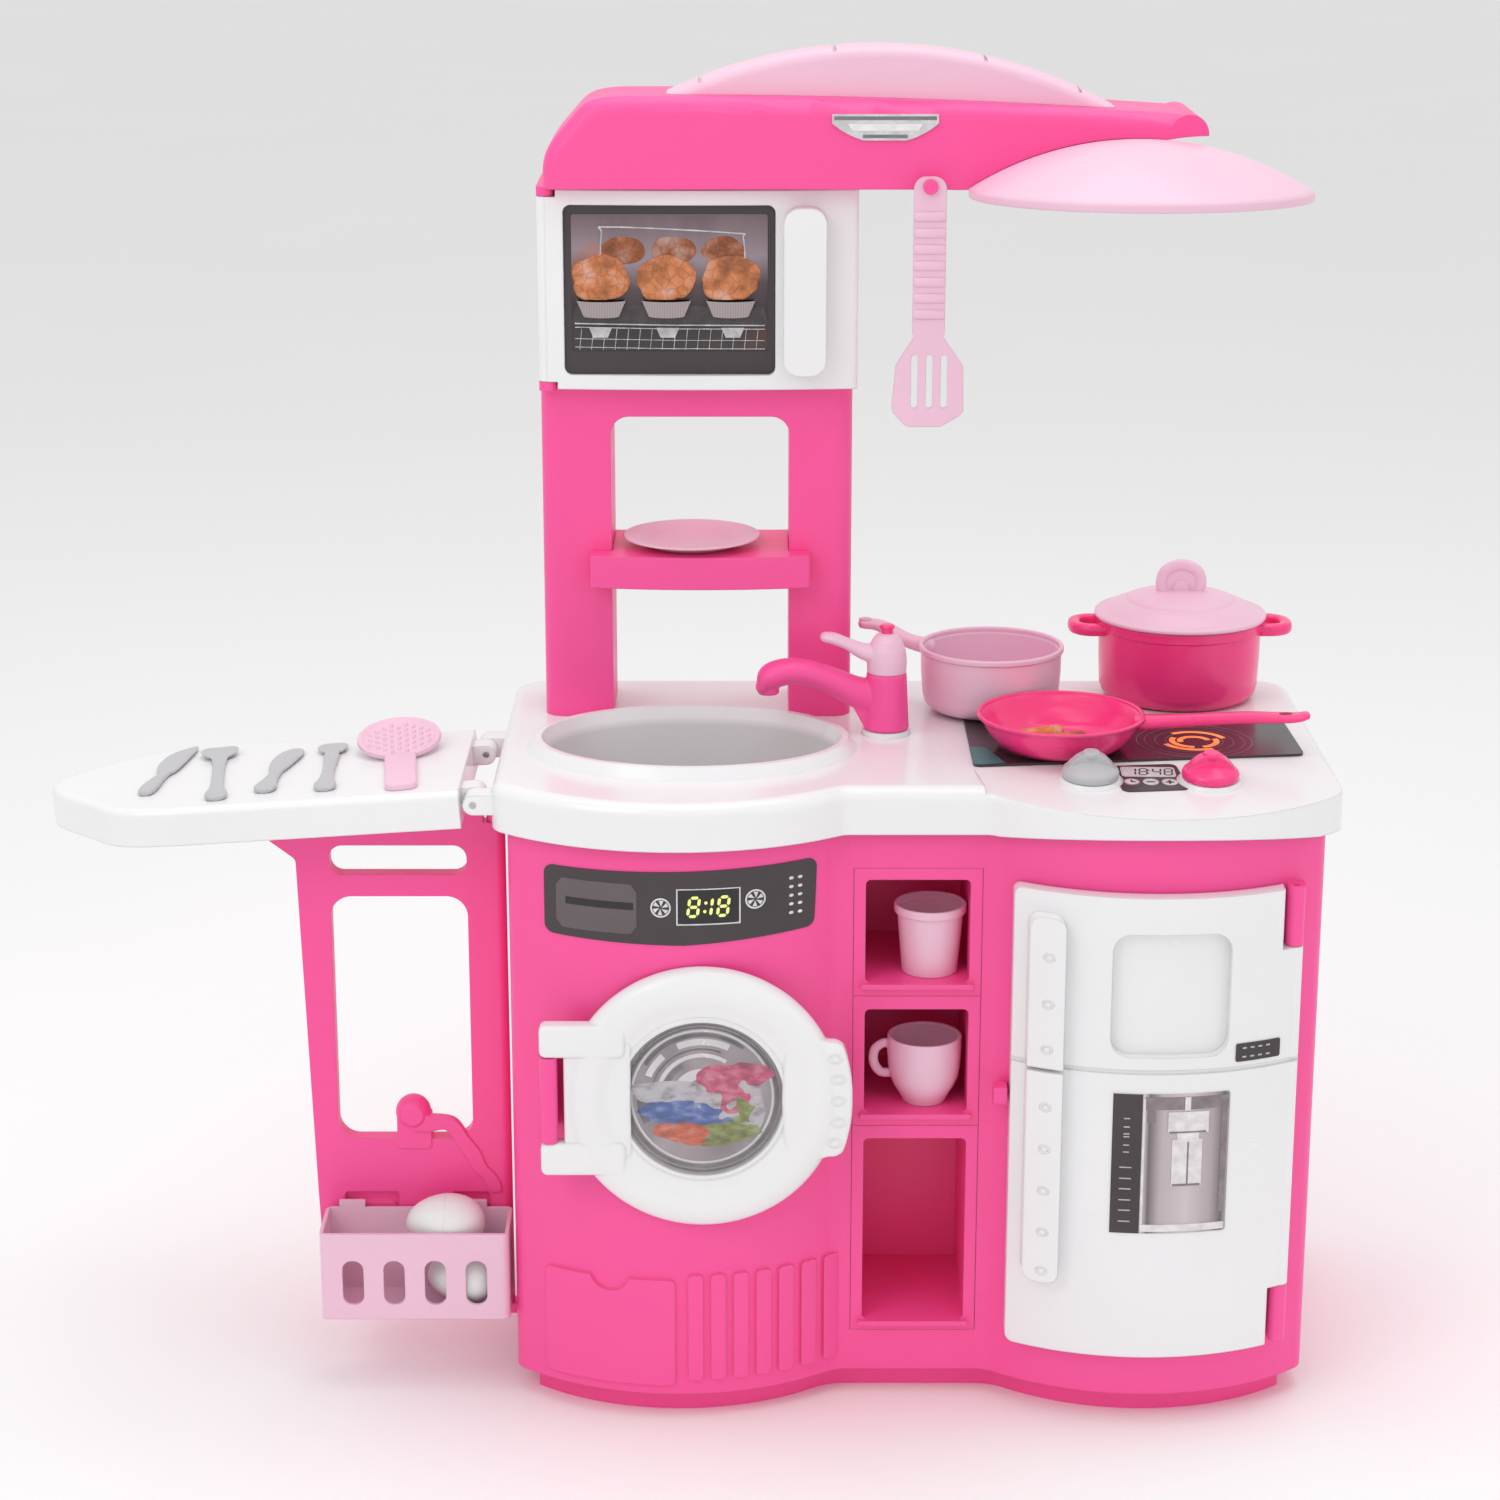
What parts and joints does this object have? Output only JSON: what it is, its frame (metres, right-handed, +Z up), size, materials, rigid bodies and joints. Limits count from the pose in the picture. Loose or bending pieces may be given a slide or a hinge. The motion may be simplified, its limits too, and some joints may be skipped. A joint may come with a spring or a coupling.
{
  "type": "toy kitchen",
  "caption": "Children's play kitchen with sink, hob, oven, washer, fridge, side ironing board and toy cookware.",
  "frame": {"origin": "middle of the plinth's flat base, on the floor", "axes": "+Z up, -Y towards the child at the front, +X to the right seen from the front"},
  "size_m": [0.9587, 0.3747, 1],
  "materials": {
    "pink": "satin moulded polypropylene, hot pink",
    "white": "gloss moulded polypropylene, white",
    "light_pink": "satin moulded polypropylene, light pink",
    "deep_pink": "gloss moulded plastic, deep pink",
    "grey": "satin moulded plastic, light grey",
    "label": "printed vinyl label",
    "clear": "clear polystyrene",
    "egg_white": "matt moulded plastic, egg white",
    "sausage": "matt moulded plastic, orange brown",
    "steel": "zinc-plated steel"
  },
  "bodies": {
    "cabinet": {"plinth": "pink", "cabinet_front": "pink", "cabinet_rear": "pink", "niche_bottom": "pink", "niche_middle": "pink", "niche_top": "pink", "gate_brackets": "pink", "washer_tub": "white", "fridge_liner": "white", "fridge_shelf": "white", "worktop": "white", "hob_panel": "label", "timer_label": "label", "control_label": "label", "tower_frame": "pink", "tower_shelf": "pink", "oven_housing": "pink", "hood": "pink", "hood_crown": "light_pink", "hood_badge": "label", "lamp_shade": "light_pink", "hood_hook": "pink", "door_latch": "pink", "hinge_pins": "steel", "screws": "steel"},
    "washer_door": {"washer_door": "white", "washer_window": "clear", "washer_picture": "label"},
    "fridge_door": {"fridge_door": "white", "dispenser_label": "label", "fridge_badge": "label"},
    "oven_door": {"oven_door": "white", "oven_picture": "label"},
    "ironing_board": {"ironing_board": "white"},
    "gate": {"gate_frame": "pink"},
    "basket": {"laundry_basket": "light_pink"},
    "egg_2": {"egg_2": "egg_white"},
    "egg_1": {"egg_1": "egg_white"},
    "spatula": {"spatula": "light_pink"},
    "tap_body": {"tap_body": "pink"},
    "tap_lever": {"tap_lever": "light_pink"},
    "tap_button": {"tap_button": "deep_pink"},
    "knob_left": {"knob_left": "grey"},
    "knob_right": {"knob_right": "deep_pink"},
    "pot": {"pot": "deep_pink"},
    "pot_lid": {"pot_lid": "light_pink"},
    "saucepan": {"saucepan": "light_pink"},
    "frying_pan": {"frying_pan": "deep_pink"},
    "sausages": {"sausages": "sausage"},
    "tumbler": {"tumbler": "light_pink"},
    "mug": {"mug": "light_pink"},
    "plate": {"plate": "light_pink"},
    "knife": {"knife": "grey"},
    "spoon": {"spoon": "grey"},
    "spreader": {"spreader": "grey"},
    "teaspoon": {"teaspoon": "grey"},
    "skimmer": {"skimmer": "light_pink"}
  },
  "joints": [
    {"name": "washer_door_hinge", "type": "hinge", "parent": "cabinet", "child": "washer_door", "pos_m": [-0.269, -0.171, 0.262], "axis": [0, 0, -1], "range_deg": [0, 105]},
    {"name": "fridge_door_hinge", "type": "hinge", "parent": "cabinet", "child": "fridge_door", "pos_m": [0.275, -0.14324, 0.238], "axis": [0, 0, 1], "range_deg": [0, 105]},
    {"name": "oven_door_hinge", "type": "hinge", "parent": "cabinet", "child": "oven_door", "pos_m": [-0.2745, 0.054, 0.821], "axis": [0, 0, -1], "range_deg": [0, 100]},
    {"name": "board_lift", "type": "hinge", "parent": "cabinet", "child": "ironing_board", "pos_m": [-0.324, -0.033, 0.47], "axis": [0, 1, 0], "range_deg": [0, 90]},
    {"name": "gate_swing", "type": "hinge", "parent": "cabinet", "child": "gate", "pos_m": [-0.312, -0.06, 0.25], "axis": [0, 0, -1], "range_deg": [0, 90]},
    {"name": "basket_lift", "type": "slide", "parent": "gate", "child": "basket", "axis": [0, 0, 1], "range_m": [0, 0.03]},
    {"name": "egg_2_lift", "type": "slide", "parent": "basket", "child": "egg_2", "axis": [0, 0, 1], "range_m": [0, 0.08]},
    {"name": "egg_1_lift", "type": "slide", "parent": "egg_2", "child": "egg_1", "axis": [0, 0, 1], "range_m": [0, 0.08]},
    {"name": "spatula_swing", "type": "hinge", "parent": "cabinet", "child": "spatula", "pos_m": [0.01, 0.0175, 0.902], "axis": [0, 1, 0], "range_deg": [-25, 25]},
    {"name": "tap_swivel", "type": "hinge", "parent": "cabinet", "child": "tap_body", "pos_m": [-0.018, 0.015, 0.5], "axis": [0, 0, 1], "range_deg": [-20, 70]},
    {"name": "tap_lever_turn", "type": "hinge", "parent": "tap_body", "child": "tap_lever", "pos_m": [-0.018, 0.015, 0.545], "axis": [0, 0, 1], "range_deg": [-45, 45]},
    {"name": "tap_button_press", "type": "slide", "parent": "tap_lever", "child": "tap_button", "axis": [0, 0, -1], "range_m": [0, 0.003], "stiffness_N_per_m": 60},
    {"name": "knob_left_turn", "type": "hinge", "parent": "cabinet", "child": "knob_left", "pos_m": [0.127, -0.1, 0.48417], "axis": [0.0113, -0.0934, 0.9956], "range_deg": [-135, 135]},
    {"name": "knob_right_turn", "type": "hinge", "parent": "cabinet", "child": "knob_right", "pos_m": [0.215, -0.1, 0.48318], "axis": [0.0113, -0.0934, 0.9956], "range_deg": [-135, 135]},
    {"name": "pot_lift", "type": "slide", "parent": "cabinet", "child": "pot", "axis": [0, 0, 1], "range_m": [0, 0.12]},
    {"name": "pot_lid_lift", "type": "slide", "parent": "pot", "child": "pot_lid", "axis": [0, 0, 1], "range_m": [0, 0.08]},
    {"name": "saucepan_lift", "type": "slide", "parent": "cabinet", "child": "saucepan", "axis": [0, 0, 1], "range_m": [0, 0.12]},
    {"name": "frying_pan_lift", "type": "slide", "parent": "cabinet", "child": "frying_pan", "axis": [0, 0, 1], "range_m": [0, 0.12]},
    {"name": "sausages_lift", "type": "slide", "parent": "frying_pan", "child": "sausages", "axis": [0, 0, 1], "range_m": [0, 0.05]},
    {"name": "tumbler_pull", "type": "slide", "parent": "cabinet", "child": "tumbler", "axis": [0, -1, 0], "range_m": [0, 0.12]},
    {"name": "mug_pull", "type": "slide", "parent": "cabinet", "child": "mug", "axis": [0, -1, 0], "range_m": [0, 0.12]},
    {"name": "plate_lift", "type": "slide", "parent": "cabinet", "child": "plate", "axis": [0, 0, 1], "range_m": [0, 0.06]},
    {"name": "knife_lift", "type": "slide", "parent": "ironing_board", "child": "knife", "axis": [-0.0645, 0, 0.9979], "range_m": [0, 0.04]},
    {"name": "spoon_lift", "type": "slide", "parent": "ironing_board", "child": "spoon", "axis": [-0.0645, 0, 0.9979], "range_m": [0, 0.04]},
    {"name": "spreader_lift", "type": "slide", "parent": "ironing_board", "child": "spreader", "axis": [-0.0645, 0, 0.9979], "range_m": [0, 0.04]},
    {"name": "teaspoon_lift", "type": "slide", "parent": "ironing_board", "child": "teaspoon", "axis": [-0.0645, 0, 0.9979], "range_m": [0, 0.04]},
    {"name": "skimmer_lift", "type": "slide", "parent": "ironing_board", "child": "skimmer", "axis": [-0.0645, 0, 0.9979], "range_m": [0, 0.04]}
  ]
}
